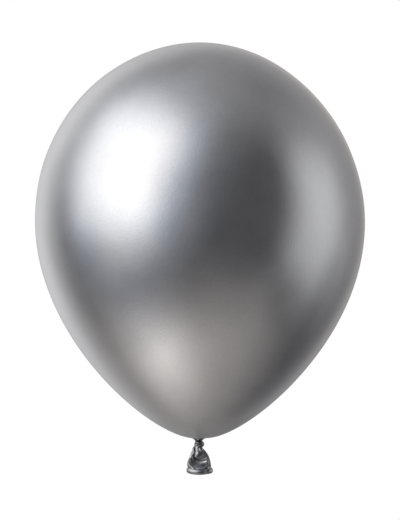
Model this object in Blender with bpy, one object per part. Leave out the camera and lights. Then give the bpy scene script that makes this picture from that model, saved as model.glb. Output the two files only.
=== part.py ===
"""Latex party balloon with a chrome finish, blown up, knotted and floating, at its real size.

Metres, +Z up. The origin is the tie point, the narrowest place of the neck, just above the knot.
X runs to the right of the side in the photograph and Y runs away from it.
The pieces come in the order of the film from the crown down: envelope, throat, knot, tail, lip.
"""

import math

import bmesh
import bpy
from mathutils import Matrix, Vector
from mathutils.geometry import interpolate_bezier

GAP = 0.0003  # between pieces that touch
FINE_MERGE = 0.00001

# Envelope: the blown-up bag, a turned shell that is open where the neck gathers
ENVELOPE_RADIUS = 0.1525
CROWN_Z = 0.3670
EQUATOR_Z = 0.2007
FILM_WALL = 0.0003
CROWN_HANDLE = 0.524  # of the radius, from the crown outwards
SHOULDER_HANDLE = 0.570  # of the crown's height over the equator, from the equator up
SKIRT_HANDLE = 0.518  # of the equator's height over the mouth, from the equator down
MOUTH_HANDLE = 0.289  # of the radius, from the mouth outwards
MOUTH_RADIUS = 0.0074
MOUTH_Z = 0.0012
MOUTH_SLOPE = math.radians(6.0)
ENVELOPE_SIDES = 64
ARC_POINTS = 15

# Throat: the film gathered in pleats from the envelope's mouth down to the tie point
THROAT_FOOT_RADIUS = 0.0034
THROAT_FOOT_Z = GAP
THROAT_CUP_Z = 0.0011
THROAT_PLEATS = 9
THROAT_PLEAT_DEPTH = 0.0003

# Knot: the neck twisted into a strand and tied in one overhand knot. Its two halves are the same
# turn, the second one turned half round about Y, and they meet behind the middle of the knot.
KNOT_CENTRE_Z = -0.0039
KNOT_UNIT = 0.0013
STRAND_RADIUS = 0.00095
STRAND_FLARE = 1.5  # how much wider the strand is where it leaves the knot
STRAND_STEPS = 6
# each row: x, y, z from the knot's centre, in knot units
TAIL_HALF_ROUTE = (
    (0.12, 1.30, 0.05),  # starts behind the middle
    (1.75, 1.40, 0.75),  # up behind the right side
    (2.65, -0.10, 1.05),  # round the right side
    (1.90, -2.20, 1.20),  # over to the front
    (-0.40, -2.25, 0.95),  # across the front
    (-1.05, -0.70, -0.40),  # down beside the other half
    (-0.55, 0.00, -1.65),  # back to the axis
    (-0.10, 0.00, -2.30),
    (0.00, 0.00, -2.68),  # out to the tail
)

# Tail: the uninflated neck below the knot, an oval sleeve that opens downwards
TAIL_PIVOT_Z = -0.010
TAIL_WALL = 0.0005
TAIL_PLEATS = 7
TAIL_PLEAT_DEPTH = 0.00035
TAIL_SIDES = 56
# each row: z, half-width along X, half-depth along Y, share of the pleats' depth
TAIL_OUTSIDE = (
    (-0.00775, 0.0030, 0.0004, 0.0),
    (-0.00795, 0.0039, 0.0010, 0.0),
    (-0.00850, 0.0046, 0.0017, 0.0),
    (-0.00930, 0.0053, 0.00212, 0.1),
    (-0.01000, 0.0058, 0.0023, 0.3),
    (-0.01150, 0.0069, 0.0027, 0.8),
    (-0.01340, 0.0080, 0.0032, 1.0),
    (-0.01520, 0.0090, 0.0037, 1.0),
    (-0.01890, 0.0104, 0.0045, 0.7),
    (-0.02260, 0.0110, 0.0050, 0.3),
    (-0.02570, 0.0109, 0.0053, 0.0),
)
TAIL_HOLLOW_FROM = 6  # the row of TAIL_OUTSIDE where the sleeve starts to be hollow
TAIL_HOLLOW_TOP_Z = -0.0126

# Lip: the rolled bead round the open end, whose front and back hang a little lower
LIP_Z = -0.0282
LIP_HALF_HEIGHT = 0.0022
LIP_HALF_THICKNESS = 0.0014
LIP_PATH_HALF_WIDTH = 0.0107
LIP_PATH_HALF_DEPTH = 0.0052
LIP_DROOP = 0.0014
LIP_SIDES = 56
LIP_SECTION_SIDES = 14

# Finish: base colour, roughness and metallic of each run of film
CHROME_FILM = ((0.56, 0.56, 0.58), 0.32, 1.0)
GATHERED_FILM = ((0.34, 0.34, 0.36), 0.36, 0.9)


def clear_scene():
    """Removes whatever the new file came with."""
    for item in list(bpy.data.objects):
        bpy.data.objects.remove(item, do_unlink=True)


def make_material(name, finish):
    """Makes a Principled material from a row of base colour, roughness and metallic."""
    colour, roughness, metallic = finish
    material = bpy.data.materials.new(name)
    material.use_nodes = True
    shader = material.node_tree.nodes["Principled BSDF"]
    shader.inputs["Base Color"].default_value = (*colour, 1.0)
    shader.inputs["Roughness"].default_value = roughness
    shader.inputs["Metallic"].default_value = metallic
    return material


def add_object(name, data, finish):
    """Links an object with its own material."""
    data.materials.append(make_material(name + "_finish", finish))
    item = bpy.data.objects.new(name, data)
    bpy.context.collection.objects.link(item)
    return item


def finish_mesh(name, bm, finish):
    """Closes a bmesh into a smooth object whose faces point outwards."""
    bmesh.ops.remove_doubles(bm, verts=bm.verts, dist=FINE_MERGE)
    bmesh.ops.recalc_face_normals(bm, faces=bm.faces)
    mesh = bpy.data.meshes.new(name)
    bm.to_mesh(mesh)
    bm.free()
    mesh.shade_smooth()
    return add_object(name, mesh, finish)


def turned(name, profile, sides, finish, shape=None):
    """Turns a profile of (radius, z) about Z, then moves its points by an optional shape."""
    bm = bmesh.new()
    points = [bm.verts.new((radius, 0.0, z)) for radius, z in profile]
    edges = [bm.edges.new(pair) for pair in zip(points, points[1:])]
    bmesh.ops.spin(bm, geom=points + edges, cent=(0, 0, 0), axis=(0, 0, 1),
                   angle=math.tau, steps=sides, use_merge=True)
    if shape:
        for vert in bm.verts:
            vert.co = shape(vert.co)
    return finish_mesh(name, bm, finish)


def unit_tube(rings, sides):
    """Makes a tube of radius 1 whose rings stand at z = 0, 1, 2 and so on."""
    bm = bmesh.new()
    circle = bmesh.ops.create_circle(bm, cap_ends=False, radius=1.0, segments=sides)
    edges = list({edge for vert in circle["verts"] for edge in vert.link_edges})
    for _ in range(rings - 1):
        grown = bmesh.ops.extrude_edge_only(bm, edges=edges)["geom"]
        verts = [part for part in grown if isinstance(part, bmesh.types.BMVert)]
        edges = [edge for edge in grown if isinstance(edge, bmesh.types.BMEdge)
                 and edge.verts[0] in verts and edge.verts[1] in verts]
        bmesh.ops.translate(bm, verts=verts, vec=(0, 0, 1))
    return bm


def close_ends(bm):
    """Closes both open ends of a tube with a fan of faces."""
    open_edges = [edge for edge in bm.edges if edge.is_boundary]
    caps = bmesh.ops.holes_fill(bm, edges=open_edges, sides=0)["faces"]
    bmesh.ops.poke(bm, faces=caps)


def envelope_profile():
    """Gives the envelope's outside from crown to mouth as two curved runs."""
    crown = Vector((0.0, CROWN_Z))
    equator = Vector((ENVELOPE_RADIUS, EQUATOR_Z))
    mouth = Vector((MOUTH_RADIUS, MOUTH_Z))
    along_mouth = Vector((math.cos(MOUTH_SLOPE), math.sin(MOUTH_SLOPE)))
    top = interpolate_bezier(
        crown,
        crown + Vector((CROWN_HANDLE * ENVELOPE_RADIUS, 0.0)),
        equator + Vector((0.0, SHOULDER_HANDLE * (CROWN_Z - EQUATOR_Z))),
        equator, ARC_POINTS)
    skirt = interpolate_bezier(
        equator,
        equator - Vector((0.0, SKIRT_HANDLE * (EQUATOR_Z - MOUTH_Z))),
        mouth + MOUTH_HANDLE * ENVELOPE_RADIUS * along_mouth,
        mouth, ARC_POINTS)
    return top + skirt[1:]


def inward(points, wall):
    """Moves a profile inwards by the wall's thickness, square to its run."""
    moved = []
    for index, point in enumerate(points):
        before = points[max(index - 1, 0)]
        after = points[min(index + 1, len(points) - 1)]
        run = (after - before).normalized()
        moved.append(point + wall * Vector((run.y, -run.x)))
    moved[0] = Vector((0.0, points[0].y - wall))
    return moved


def build_envelope():
    """Builds the blown-up bag as a thin shell, open at the neck."""
    outside = envelope_profile()
    inside = inward(outside, FILM_WALL)
    return turned("envelope", outside + inside[::-1], ENVELOPE_SIDES, CHROME_FILM)


def build_throat():
    """Builds the pleated funnel that fills the envelope's mouth down to the tie point."""
    rim = MOUTH_RADIUS - GAP
    rim_z = MOUTH_Z - 0.1 * GAP
    profile = (
        (0.0, THROAT_CUP_Z),
        (0.5 * rim, THROAT_CUP_Z + 0.1 * GAP),
        (rim - FILM_WALL, rim_z + FILM_WALL),
        (rim, rim_z),
        (0.76 * rim, 0.5 * (rim_z + THROAT_FOOT_Z)),
        (THROAT_FOOT_RADIUS, THROAT_FOOT_Z + 0.5 * GAP),
        (THROAT_FOOT_RADIUS - GAP, THROAT_FOOT_Z),
        (0.0, THROAT_FOOT_Z),
    )

    def pleat(point):
        radius = math.hypot(point.x, point.y)
        if radius < GAP:
            return point
        bearing = math.atan2(point.y, point.x)
        middle = max(0.0, 1.0 - abs(2.0 * radius / rim - 1.35) / 0.65)
        pull = 1.0 - middle * THROAT_PLEAT_DEPTH / radius * (1.0 + math.cos(THROAT_PLEATS * bearing))
        return Vector((point.x * pull, point.y * pull, point.z))

    return turned("throat", profile, 54, GATHERED_FILM, pleat)


def smooth_route(points):
    """Reads points along one smooth curve through the given points."""
    ends = [2 * points[0] - points[1], *points, 2 * points[-1] - points[-2]]
    route = [points[0]]
    for before, start, end, after in zip(ends, ends[1:], ends[2:], ends[3:]):
        leave = start + (end - before) / 6
        arrive = end - (after - start) / 6
        route += interpolate_bezier(start, leave, arrive, end, STRAND_STEPS + 1)[1:]
    return route


def build_strand(name, side):
    """Builds one half of the knot: side 1 leads to the tail, and side -1 to the throat."""
    centre = Vector((0.0, 0.0, KNOT_CENTRE_Z))
    places = [centre + KNOT_UNIT * Vector((side * x, y, side * z)) for x, y, z in TAIL_HALF_ROUTE]
    route = smooth_route(places)
    curve = bpy.data.curves.new(name, "CURVE")
    curve.dimensions = "3D"
    curve.bevel_depth = STRAND_RADIUS
    curve.bevel_resolution = 3
    curve.use_fill_caps = True
    spline = curve.splines.new("POLY")
    spline.points.add(len(route) - 1)
    for index, (point, place) in enumerate(zip(spline.points, route)):
        to_end = (len(route) - 1 - index) / (2 * STRAND_STEPS)
        point.co = (*place, 1.0)
        point.radius = 1.0 + (STRAND_FLARE - 1.0) * max(0.0, 1.0 - to_end)
    return add_object(name, curve, GATHERED_FILM)


def lip_z(bearing):
    """Gives the height of the lip's middle line, lowest at the front and back."""
    return LIP_Z - LIP_DROOP * math.sin(bearing) ** 2


def tail_point(row, bearing):
    """Places one point of the tail's outside or inside ring."""
    z, half_width, half_depth, pleat_share = row
    pull = 1.0 - pleat_share * TAIL_PLEAT_DEPTH / half_width * (1.0 + math.cos(TAIL_PLEATS * bearing))
    low = max(0.0, (z - TAIL_PIVOT_Z) / (TAIL_OUTSIDE[-1][0] - TAIL_PIVOT_Z))
    droop = LIP_DROOP * low * math.sin(bearing) ** 2
    return Vector((half_width * pull * math.cos(bearing),
                   half_depth * pull * math.sin(bearing), z - droop))


def build_tail():
    """Builds the flared sleeve, solid where it gathers and hollow from there to the lip."""
    inside = [(z, half_width - TAIL_WALL, half_depth - TAIL_WALL, pleats)
              for z, half_width, half_depth, pleats in TAIL_OUTSIDE[TAIL_HOLLOW_FROM:]]
    _, top_width, top_depth, _ = inside[0]
    closing = (TAIL_HOLLOW_TOP_Z, 0.5 * top_width, 0.3 * top_depth, 0.0)
    rows = list(TAIL_OUTSIDE) + inside[::-1] + [closing]
    bm = unit_tube(len(rows), TAIL_SIDES)
    for vert in bm.verts:
        vert.co = tail_point(rows[round(vert.co.z)], math.atan2(vert.co.y, vert.co.x))
    close_ends(bm)
    return finish_mesh("tail", bm, GATHERED_FILM)


def build_lip():
    """Builds the rolled bead as a ring round the tail's open end."""
    bm = bmesh.new()
    section = bmesh.ops.create_circle(bm, radius=1.0, segments=LIP_SECTION_SIDES,
                                      matrix=Matrix.Rotation(math.radians(90), 4, "X"))
    bmesh.ops.translate(bm, verts=section["verts"], vec=(2.0, 0, 0))
    bmesh.ops.spin(bm, geom=list(bm.verts) + list(bm.edges), cent=(0, 0, 0), axis=(0, 0, 1),
                   angle=math.tau, steps=LIP_SIDES, use_merge=True)
    for vert in bm.verts:
        bearing = math.atan2(vert.co.y, vert.co.x)
        across = math.hypot(vert.co.x, vert.co.y) - 2.0
        vert.co = Vector((
            (LIP_PATH_HALF_WIDTH + LIP_HALF_THICKNESS * across) * math.cos(bearing),
            (LIP_PATH_HALF_DEPTH + LIP_HALF_THICKNESS * across) * math.sin(bearing),
            lip_z(bearing) + LIP_HALF_HEIGHT * vert.co.z))
    return finish_mesh("lip", bm, GATHERED_FILM)


def main():
    """Builds every piece."""
    clear_scene()
    build_envelope()
    build_throat()
    build_strand("neck_strand", -1)
    build_strand("tail_strand", 1)
    build_tail()
    build_lip()


main()
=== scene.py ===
"""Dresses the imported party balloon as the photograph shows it.

Metres, +Z up, the camera looks along +Y. The origin is the tie point just above the knot.
The film is modelled from the crown down: envelope, throat, knot, tail and rolled lip.
"""

import logging
import math
from collections.abc import Callable, Sequence
from dataclasses import dataclass, field, replace
from enum import Enum

import bmesh
import bpy
from mathutils import Matrix, Vector
from mathutils.geometry import interpolate_bezier


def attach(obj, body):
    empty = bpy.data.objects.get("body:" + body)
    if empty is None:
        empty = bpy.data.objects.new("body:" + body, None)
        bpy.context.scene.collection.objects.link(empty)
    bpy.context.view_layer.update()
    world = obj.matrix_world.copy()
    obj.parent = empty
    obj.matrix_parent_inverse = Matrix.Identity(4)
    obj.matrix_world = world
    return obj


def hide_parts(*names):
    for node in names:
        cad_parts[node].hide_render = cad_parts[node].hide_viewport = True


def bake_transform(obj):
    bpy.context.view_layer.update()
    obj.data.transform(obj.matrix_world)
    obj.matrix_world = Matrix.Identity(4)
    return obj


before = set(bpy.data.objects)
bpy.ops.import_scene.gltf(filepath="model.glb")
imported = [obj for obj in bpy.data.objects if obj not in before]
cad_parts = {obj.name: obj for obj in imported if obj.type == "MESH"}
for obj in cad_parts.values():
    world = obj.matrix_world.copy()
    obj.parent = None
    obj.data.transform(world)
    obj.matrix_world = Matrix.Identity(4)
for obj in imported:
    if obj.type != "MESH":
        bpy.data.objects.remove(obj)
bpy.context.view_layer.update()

MERGE_DISTANCE = 0.000002
SHARP_ANGLE = math.radians(60.0)
QUARTER_TURN = math.radians(90.0)
FILM_RUN = "film_run"  # vertex attribute: two coordinates round the film and one along it
FILM_PAINTED_LIGHT = "film_painted_light"  # vertex attribute for painted light: 1 where the painted shade in the creases is darkest, -1 where the painted highlights are brightest
MILLIMETRE = 0.001
HANDLE_SHARE = 6  # a smooth curve's handle is a sixth of the way between the stops on both sides
FOLD_STEPS = 4
FOLD_REACH = 2.4  # how far a fold can be felt, in its own widths
FOLD_FOCUS = 6  # how strongly the nearest stretch of a fold outweighs the others
NOISE_MIDDLE = 0.5
PANEL_WAYS = ("Right", "Up", "Middle")  # the directions that a panel's node group takes
LIP_TURN = math.radians(-5.5)  # the lip's front faces a little to the left

log = logging.getLogger("balloon")


class Body(Enum):
    """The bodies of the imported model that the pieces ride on."""

    ENVELOPE = "envelope"
    KNOT = "knot"
    TAIL = "tail"


class TailFace(Enum):
    """The two flat sides of the tail, by the sign of Y."""

    FRONT = -1
    BACK = 1


def smooth_share(value: float, start: float, end: float) -> float:
    """Eases from 0 where the value is at start to 1 at end, and stays level beyond both."""
    share = min(1.0, max(0.0, (value - start) / (end - start)))
    return share * share * (3.0 - 2.0 * share)


def bell(away: float, width: float) -> float:
    """Falls from 1 where away is 0, on both sides, to 0.37 at one width."""
    return math.exp(-(away / width) ** 2)


def bearing_gap(bearing: float, middle: float) -> float:
    """Gives the short way round from one bearing to another, in degrees."""
    return (bearing - middle + 180.0) % 360.0 - 180.0


def smooth_curve(stops: Sequence[Sequence[float]], steps: int) -> list[Vector]:
    """Runs a smooth curve through a row of stops.

    Args:
        stops: the stops, each of two numbers or more.
        steps: points from one stop to the next.

    Returns:
        Points along the curve, with as many numbers as the stops.
    """
    ends = [Vector(stop) for stop in stops]
    ends = [2 * ends[0] - ends[1], *ends, 2 * ends[-1] - ends[-2]]
    curve = [ends[1]]
    for before, start, end, after in zip(ends, ends[1:], ends[2:], ends[3:]):
        leave = start + (end - before) / HANDLE_SHARE
        arrive = end - (after - start) / HANDLE_SHARE
        for step in range(1, steps + 1):
            share = step / steps
            rest = 1.0 - share
            curve.append(rest ** 3 * start + 3 * rest ** 2 * share * leave
                         + 3 * rest * share ** 2 * arrive + share ** 3 * end)
    return curve


def squared(cosine: float, sine: float, squareness: float) -> float:
    """Gives a point's distance from the middle, where squareness 2 is a circle and more a box."""
    return (abs(cosine) ** squareness + abs(sine) ** squareness) ** (-1.0 / squareness)


@dataclass(frozen=True)
class MiddleLine:
    """How far the balloon's middle stands to the right at each height."""

    # height, and how far the middle stands to the right there
    stations: tuple[tuple[float, float], ...] = (
        (0.3670, -0.0005),
        (0.3300, -0.0014),
        (0.2650, -0.0009),
        (0.2007, 0.0000),
        (0.1200, 0.0004),
        (0.0030, 0.0002),
        (0.0006, -0.0012),
        (-0.0011, -0.0011),
        (-0.0040, -0.0006),
        (-0.0066, -0.0018),
        (-0.0080, -0.0022),
        (-0.0112, -0.0011),
        (-0.0140, -0.0007),
        (-0.0223, -0.0010),
        (-0.0275, -0.0004),
        (-0.0330, -0.0004),
    )

    def shift(self, z: float) -> float:
        """Reads the middle's place along X.

        Args:
            z: the height.

        Returns:
            How far the middle stands to the right there.
        """
        for (top, top_x), (low, low_x) in zip(self.stations, self.stations[1:]):
            if z >= low:
                return top_x + (low_x - top_x) * smooth_share(z, top, low)
        return self.stations[-1][1]


MIDDLE = MiddleLine()


@dataclass(frozen=True)
class NodeBench:
    """Adds and joins the nodes of one tree."""

    tree: bpy.types.NodeTree

    def add(self, kind: str, **settings: object) -> bpy.types.Node:
        """Adds a node.

        Args:
            kind: the node's Blender type.
            settings: the node's own properties.

        Returns:
            The new node.
        """
        node = self.tree.nodes.new(kind)
        for name, value in settings.items():
            setattr(node, name, value)
        return node

    def join(self, source: bpy.types.NodeSocket, target: bpy.types.NodeSocket) -> None:
        """Links an output to an input."""
        self.tree.links.new(source, target)

    def maths(self, operation: str, *values: object) -> bpy.types.NodeSocket:
        """Adds a Math node.

        Args:
            operation: its operation.
            values: a socket or a number for each input in turn.

        Returns:
            Its output.
        """
        node = self.add("ShaderNodeMath", operation=operation)
        for socket, value in zip(node.inputs, values):
            self.feed(socket, value)
        return node.outputs[0]

    def vectors(self, operation: str, *values: object) -> bpy.types.Node:
        """Adds a Vector Math node.

        Args:
            operation: its operation.
            values: a socket or a vector for each input in turn.

        Returns:
            The node.
        """
        node = self.add("ShaderNodeVectorMath", operation=operation)
        for socket, value in zip(node.inputs, values):
            self.feed(socket, value)
        return node

    def flat(self, place: bpy.types.NodeSocket) -> bpy.types.NodeSocket:
        """Leaves the height out of a place."""
        return self.vectors("MULTIPLY", place, (1.0, 1.0, 0.0)).outputs[0]

    def length(self, vector: bpy.types.NodeSocket) -> bpy.types.NodeSocket:
        """Measures a vector."""
        return self.vectors("LENGTH", vector).outputs["Value"]

    def shaders(self, share: bpy.types.NodeSocket, first: bpy.types.NodeSocket,
                second: bpy.types.NodeSocket) -> bpy.types.NodeSocket:
        """Mixes two shaders.

        Args:
            share: how much of the second shows.
            first: the shader at 0.
            second: the shader at 1.

        Returns:
            The mix.
        """
        node = self.add("ShaderNodeMixShader")
        for socket, source in zip(node.inputs, (share, first, second)):
            self.join(source, socket)
        return node.outputs[0]

    def feed(self, socket: bpy.types.NodeSocket, value: object) -> None:
        """Fills an input.

        Args:
            socket: the input.
            value: what it gets, a number or vector or an output to link to it.
        """
        if isinstance(value, bpy.types.NodeSocket):
            self.join(value, socket)
        else:
            socket.default_value = value

    def ease(self, value: bpy.types.NodeSocket, span: tuple[float, float],
             result: tuple[float, float]) -> bpy.types.NodeSocket:
        """Maps a value smoothly from one span to another.

        Args:
            value: the value's socket.
            span: the values at the two ends.
            result: what comes out at those ends.

        Returns:
            The mapped output.
        """
        node = self.add("ShaderNodeMapRange", interpolation_type="SMOOTHSTEP")
        self.join(value, node.inputs["Value"])
        for name, number in zip(("From Min", "From Max", "To Min", "To Max"), (*span, *result)):
            node.inputs[name].default_value = number
        return node.outputs["Result"]

    def noise(self, place: bpy.types.NodeSocket, scale: float, detail: float) -> bpy.types.NodeSocket:
        """Adds a noise pattern.

        Args:
            place: the coordinates it reads.
            scale: waves for each unit of the coordinates.
            detail: how many finer octaves it has.

        Returns:
            Its grey value.
        """
        node = self.add("ShaderNodeTexNoise")
        self.join(place, node.inputs["Vector"])
        node.inputs["Scale"].default_value = scale
        node.inputs["Detail"].default_value = detail
        return node.outputs["Fac"]


@dataclass(frozen=True)
class ChromeFilm:
    """Satin chrome finish on latex, with pigment grain and stretch marks."""

    name: str
    slot: str
    colour: tuple[float, float, float]
    dark_share: float  # colour left in the darkest pigment clouds
    roughness: tuple[float, float]  # in the dark clouds and in the light ones
    grain_size: float
    grain_height: float
    streak_count: float  # waves for each unit of the bearing or of the run of film
    streak_height: float  # in metres, or as a share of the distance from the axis
    follows_film: bool  # reads the piece's own run of film instead of its bearing round Z
    grain_share: float = 0.9  # how strongly the fine grain shows beside the clouds
    painted_crease_shade: float = 0.35  # colour left under the painted shade in the deepest creases
    top_colour: tuple[float, float, float] | None = None  # at the top, where the film is stretched
    fade_z: tuple[float, float] = (0.0002, -0.0012)  # where the top colour starts and ends to fade
    painted_highlight_share: float = 1.6  # colour under the brightest painted highlights on the marked folds
    matte_near_tie: float = 0.0  # roughness added where the film is hardly stretched
    matte_radius: tuple[float, float] = (0.012, 0.075)  # from the tie point, where that fades out
    cloud_scale: float = 38.0
    cloud_detail: float = 3.0
    fine_detail: float = 2.0  # of the grain and of the streaks
    pigment_stops: tuple[float, float] = (0.275, 0.775)  # pattern values of darkest and full colour
    satin_stops: tuple[float, float] = (0.3, 0.7)  # cloud values of the two roughnesses

    def material(self) -> bpy.types.Material:
        """Makes the node material.

        Returns:
            The material.
        """
        material = bpy.data.materials.new(self.name)
        material.use_nodes = True
        bench = NodeBench(material.node_tree)
        shader = material.node_tree.nodes["Principled BSDF"]
        place = bench.add("ShaderNodeTexCoord").outputs["Object"]
        clouds = bench.noise(place, self.cloud_scale, self.cloud_detail)
        grain = bench.noise(place, 1.0 / self.grain_size, self.fine_detail)
        shader.inputs["Metallic"].default_value = 1.0
        colour = self.with_painted_light(bench, self.pigment(bench, clouds, grain, place))
        bench.join(colour, shader.inputs["Base Color"])
        bench.join(self.matte(bench, clouds, place), shader.inputs["Roughness"])
        streaks = self.streaks(bench, place)
        grain_bump = self.bump(bench, grain, self.grain_height)
        streak_bump = self.bump(bench, streaks, self.streak_height)
        bench.join(grain_bump.outputs["Normal"], streak_bump.inputs["Normal"])
        bench.join(streak_bump.outputs["Normal"], shader.inputs["Normal"])
        return material

    def pigment(self, bench: NodeBench, clouds: bpy.types.NodeSocket, grain: bpy.types.NodeSocket,
                place: bpy.types.NodeSocket) -> bpy.types.NodeSocket:
        """Mixes the chrome pigment's light and dark flakes.

        Args:
            bench: the material's nodes.
            clouds: the wide pattern.
            grain: the fine pattern.
            place: the Object coordinates.

        Returns:
            The colour.
        """
        flakes = bench.maths("SUBTRACT", grain, NOISE_MIDDLE)
        mixed = bench.maths("MULTIPLY_ADD", flakes, self.grain_share, clouds)
        ramp = bench.add("ShaderNodeValToRGB")
        dark = [channel * self.dark_share for channel in self.colour]
        stops = zip(ramp.color_ramp.elements, self.pigment_stops, (dark, self.colour))
        for stop, position, colour in stops:
            stop.position = position
            stop.color = (*colour, 1.0)
        bench.join(mixed, ramp.inputs["Fac"])
        if self.top_colour is None:
            return ramp.outputs["Color"]
        height = bench.add("ShaderNodeSeparateXYZ")
        bench.join(place, height.inputs[0])
        fade = bench.add("ShaderNodeMix", data_type="RGBA")
        bench.join(bench.ease(height.outputs["Z"], self.fade_z, (0.0, 1.0)), fade.inputs["Factor"])
        fade.inputs["A"].default_value = (*self.top_colour, 1.0)
        bench.join(ramp.outputs["Color"], fade.inputs["B"])
        return fade.outputs["Result"]

    def matte(self, bench: NodeBench, clouds: bpy.types.NodeSocket,
              place: bpy.types.NodeSocket) -> bpy.types.NodeSocket:
        """Gives the roughness, which grows towards the tie point.

        Args:
            bench: the material's nodes.
            clouds: the wide pattern.
            place: the Object coordinates.

        Returns:
            The roughness.
        """
        satin = bench.ease(clouds, self.satin_stops, self.roughness)
        if not self.matte_near_tie:
            return satin
        added = bench.ease(bench.length(place), self.matte_radius, (self.matte_near_tie, 0.0))
        return bench.maths("ADD", satin, added)

    def with_painted_light(self, bench: NodeBench, colour: bpy.types.NodeSocket) -> bpy.types.NodeSocket:
        """Paints shade into the film's colour in its creases and paints highlights onto the marked folds.

        Args:
            bench: the material's nodes.
            colour: the colour of the open film.

        Returns:
            The colour.
        """
        # above 0 the attribute asks for painted shade, below 0 for painted highlights
        crease = bench.add("ShaderNodeAttribute", attribute_name=FILM_PAINTED_LIGHT).outputs["Fac"]
        darkened = bench.ease(crease, (0.0, 1.0), (1.0, self.painted_crease_shade))
        lightened = bench.ease(crease, (-1.0, 0.0), (self.painted_highlight_share, 1.0))
        shade = bench.vectors("SCALE", colour)
        bench.join(bench.maths("MULTIPLY", darkened, lightened), shade.inputs["Scale"])
        return shade.outputs[0]

    def streaks(self, bench: NodeBench, place: bpy.types.NodeSocket) -> bpy.types.NodeSocket:
        """Gives noise in lines down the film, as steep at the equator as where the film gathers.

        Args:
            bench: the material's nodes.
            place: the Object coordinates.

        Returns:
            The streaks' height.
        """
        if self.follows_film:
            run = bench.add("ShaderNodeAttribute", attribute_name=FILM_RUN)
            return bench.noise(run.outputs["Vector"], self.streak_count, self.fine_detail)
        flat = bench.flat(place)
        bearing = bench.vectors("NORMALIZE", flat).outputs[0]
        lines = bench.noise(bearing, self.streak_count, self.fine_detail)
        return bench.maths("MULTIPLY", lines, bench.length(flat))

    @staticmethod
    def bump(bench: NodeBench, height: bpy.types.NodeSocket, distance: float) -> bpy.types.Node:
        """Adds a Bump node.

        Args:
            bench: the material's nodes.
            height: the pattern that lifts the surface.
            distance: how high the pattern's white stands.

        Returns:
            The node.
        """
        node = bench.add("ShaderNodeBump")
        node.inputs["Strength"].default_value = 1.0
        node.inputs["Distance"].default_value = distance
        bench.join(height, node.inputs["Height"])
        return node

    def dress(self, piece: bpy.types.Object) -> None:
        """Gives a piece this finish."""
        piece.data.materials.append(self.material())


def add_piece(name: str, bm: bmesh.types.BMesh, finish: ChromeFilm) -> bpy.types.Object:
    """Turns a bmesh into a smooth, dressed object at the origin.

    Args:
        name: the piece's name.
        bm: its finished mesh, which is freed.
        finish: its finish.

    Returns:
        The piece.
    """
    mesh = bpy.data.meshes.new(name)
    bm.to_mesh(mesh)
    bm.free()
    mesh.shade_smooth()
    mesh.set_sharp_from_angle(angle=SHARP_ANGLE)
    piece = bpy.data.objects.new(name, mesh)
    bpy.context.scene.collection.objects.link(piece)
    finish.dress(piece)
    return piece


def turned(profile: Sequence[Vector], sides: int) -> bmesh.types.BMesh:
    """Turns a profile about Z.

    Args:
        profile: points of radius and height, from the top down.
        sides: faces round the axis.

    Returns:
        The open skin, facing outwards.
    """
    bm = bmesh.new()
    points = [bm.verts.new((point.x, 0.0, point.y)) for point in profile]
    edges = [bm.edges.new(pair) for pair in zip(points, points[1:])]
    bmesh.ops.spin(bm, geom=points + edges, cent=(0, 0, 0), axis=(0, 0, 1),
                   angle=math.tau, steps=sides, use_merge=True)
    bmesh.ops.remove_doubles(bm, verts=bm.verts, dist=MERGE_DISTANCE)
    bmesh.ops.recalc_face_normals(bm, faces=bm.faces)
    if sum(face.normal.xy.dot(face.calc_center_median().xy) for face in bm.faces) < 0.0:
        bmesh.ops.reverse_faces(bm, faces=bm.faces)
    return bm


def unit_tube(rings: int, sides: int) -> bmesh.types.BMesh:
    """Makes a tube of radius 1 with its rings at z = 0, 1, 2 and so on.

    Args:
        rings: how many rings it has.
        sides: how many corners a ring has.

    Returns:
        The open tube.
    """
    bm = bmesh.new()
    bmesh.ops.create_circle(bm, cap_ends=False, radius=1.0, segments=sides)
    edges = bm.edges[:]
    for _ in range(rings - 1):
        grown = bmesh.ops.extrude_edge_only(bm, edges=edges)["geom"]
        verts = [part for part in grown if isinstance(part, bmesh.types.BMVert)]
        ring = set(verts)
        edges = [part for part in grown if isinstance(part, bmesh.types.BMEdge)
                 and ring.issuperset(part.verts)]
        bmesh.ops.translate(bm, verts=verts, vec=(0, 0, 1))
    return bm


def close_ends(bm: bmesh.types.BMesh) -> None:
    """Closes both open ends with fans and turns the faces outwards.

    Args:
        bm: the open tube.
    """
    open_edges = [edge for edge in bm.edges if edge.is_boundary]
    caps = bmesh.ops.holes_fill(bm, edges=open_edges, sides=0)["faces"]
    bmesh.ops.poke(bm, faces=caps)
    bmesh.ops.recalc_face_normals(bm, faces=bm.faces)


def mould(bm: bmesh.types.BMesh, place: Callable[[float, float], tuple[Vector, float]],
          run_scale: float) -> None:
    """Moves a unit tube's corners to their places and notes the run of film at each.

    Args:
        bm: the unit tube.
        place: gives a corner's place and its painted shade and highlight from its ring and its bearing.
        run_scale: film run for each ring.
    """
    run = bm.verts.layers.float_vector.new(FILM_RUN)
    # painted shade and painted highlights, which the material reads
    crease = bm.verts.layers.float.new(FILM_PAINTED_LIGHT)
    for vert in bm.verts:
        ring = vert.co.z
        bearing = math.atan2(vert.co.y, vert.co.x)
        vert[run] = (math.cos(bearing), math.sin(bearing), ring * run_scale)
        vert.co, vert[crease] = place(ring, bearing)


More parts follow.
